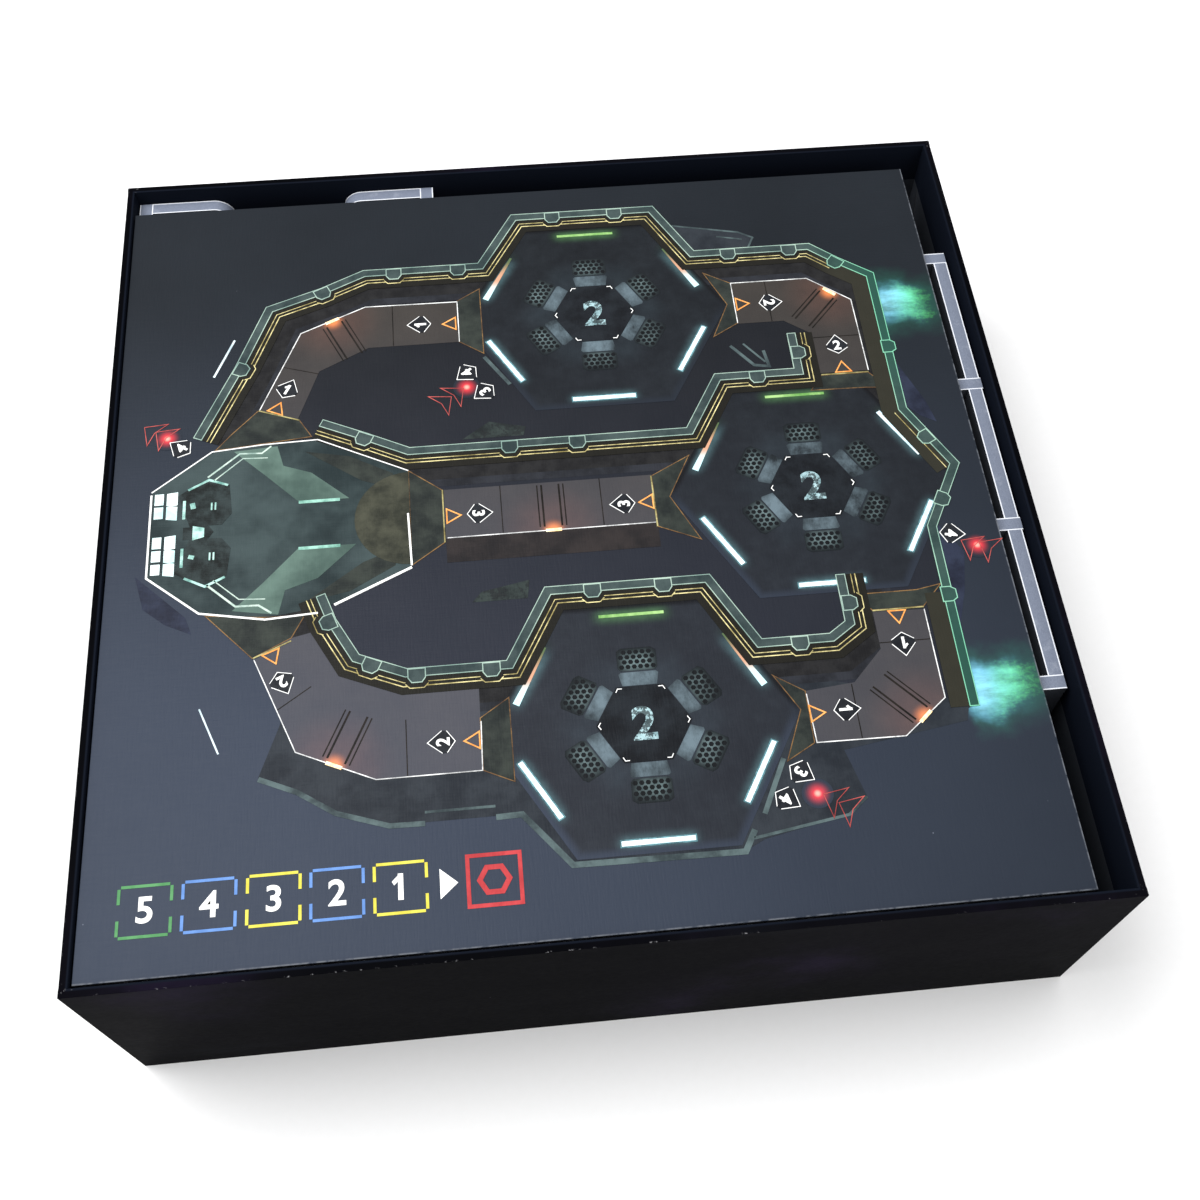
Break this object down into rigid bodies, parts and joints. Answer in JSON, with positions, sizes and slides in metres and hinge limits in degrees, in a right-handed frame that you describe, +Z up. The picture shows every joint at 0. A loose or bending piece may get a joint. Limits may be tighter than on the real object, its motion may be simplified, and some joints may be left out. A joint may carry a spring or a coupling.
{
  "type": "board game box",
  "caption": "Open square game box of wrapped greyboard that holds a folding game board over an organiser of lift-out foam-core trays.",
  "frame": {"origin": "middle of the box's underside", "axes": "+Z up out of the open top, +X to the right and +Y to the back, along the walls"},
  "size_m": [0.296, 0.296, 0.083],
  "materials": {
    "greyboard": "matte",
    "stay_tape": "matte",
    "printed_wrap": "satin",
    "liner_paper": "matte",
    "board_print": "satin",
    "board_inner": "matte",
    "hinge_cloth": "matte",
    "foam_core": "matte"
  },
  "bodies": {
    "box": {"base_panel": "greyboard", "front_wall": "greyboard", "back_wall": "greyboard", "left_wall": "greyboard", "right_wall": "greyboard", "corner_tapes": "stay_tape", "bottom_wrap": "printed_wrap", "front_wrap": "printed_wrap", "back_wrap": "printed_wrap", "left_wrap": "printed_wrap", "right_wrap": "printed_wrap", "inner_liner": "liner_paper"},
    "lower_leaf": {"lower_leaf_core": "greyboard", "lower_leaf_face": "board_print", "lower_leaf_inner_sheet": "board_inner", "lower_leaf_hinge_cloth": "hinge_cloth"},
    "upper_leaf": {"upper_leaf_core": "greyboard", "upper_leaf_face": "board_print", "upper_leaf_inner_sheet": "board_inner", "upper_leaf_hinge_cloth": "hinge_cloth"},
    "notched_tray": {"notched_tray_base": "foam_core", "notched_tray_left": "foam_core", "notched_tray_right": "foam_core", "notched_tray_front": "foam_core", "notched_tray_back": "foam_core"},
    "right_tray": {"right_tray_base": "foam_core", "right_tray_left": "foam_core", "right_tray_right": "foam_core", "right_tray_front": "foam_core", "right_tray_back": "foam_core", "right_tray_cross_wall_1": "foam_core", "right_tray_cross_wall_2": "foam_core"},
    "front_left_tray": {"front_left_tray_base": "foam_core", "front_left_tray_left": "foam_core", "front_left_tray_right": "foam_core", "front_left_tray_front": "foam_core", "front_left_tray_back": "foam_core", "front_left_tray_divider": "foam_core"},
    "middle_tray": {"middle_tray_base": "foam_core", "middle_tray_left": "foam_core", "middle_tray_right": "foam_core", "middle_tray_front": "foam_core", "middle_tray_back": "foam_core", "middle_tray_divider": "foam_core"},
    "front_tray": {"front_tray_base": "foam_core", "front_tray_left": "foam_core", "front_tray_right": "foam_core", "front_tray_front": "foam_core", "front_tray_back": "foam_core"},
    "token_tray": {"token_tray_base": "foam_core", "token_tray_left": "foam_core", "token_tray_right": "foam_core", "token_tray_front": "foam_core", "token_tray_back": "foam_core"}
  },
  "joints": [
    {"name": "board_lift", "type": "slide", "parent": "box", "child": "lower_leaf", "axis": [0, 0, 1], "range_m": [0, 0.3]},
    {"name": "board_fold", "type": "hinge", "parent": "lower_leaf", "child": "upper_leaf", "pos_m": [0.1351, 0, 0.0796], "axis": [0, 1, 0], "range_deg": [0, 180]},
    {"name": "notched_tray_lift", "type": "slide", "parent": "box", "child": "notched_tray", "axis": [0, 0, 1], "range_m": [0, 0.1651]},
    {"name": "right_tray_lift", "type": "slide", "parent": "box", "child": "right_tray", "axis": [0, 0, 1], "range_m": [0, 0.1801]},
    {"name": "front_left_tray_lift", "type": "slide", "parent": "box", "child": "front_left_tray", "axis": [0, 0, 1], "range_m": [0, 0.1501]},
    {"name": "middle_tray_lift", "type": "slide", "parent": "box", "child": "middle_tray", "axis": [0, 0, 1], "range_m": [0, 0.1501]},
    {"name": "front_tray_lift", "type": "slide", "parent": "box", "child": "front_tray", "axis": [0, 0, 1], "range_m": [0, 0.1651]},
    {"name": "token_tray_lift", "type": "slide", "parent": "box", "child": "token_tray", "axis": [0, 0, 1], "range_m": [0, 0.1801]}
  ],
  "couplings": [
    {"joint": "board_fold", "follows": "board_lift", "rad_per_m": 10.471},
    {"joint": "notched_tray_lift", "follows": "board_lift", "ratio": 0.55},
    {"joint": "right_tray_lift", "follows": "board_lift", "ratio": 0.6},
    {"joint": "front_left_tray_lift", "follows": "board_lift", "ratio": 0.5},
    {"joint": "middle_tray_lift", "follows": "board_lift", "ratio": 0.5},
    {"joint": "front_tray_lift", "follows": "board_lift", "ratio": 0.55},
    {"joint": "token_tray_lift", "follows": "board_lift", "ratio": 0.6}
  ]
}
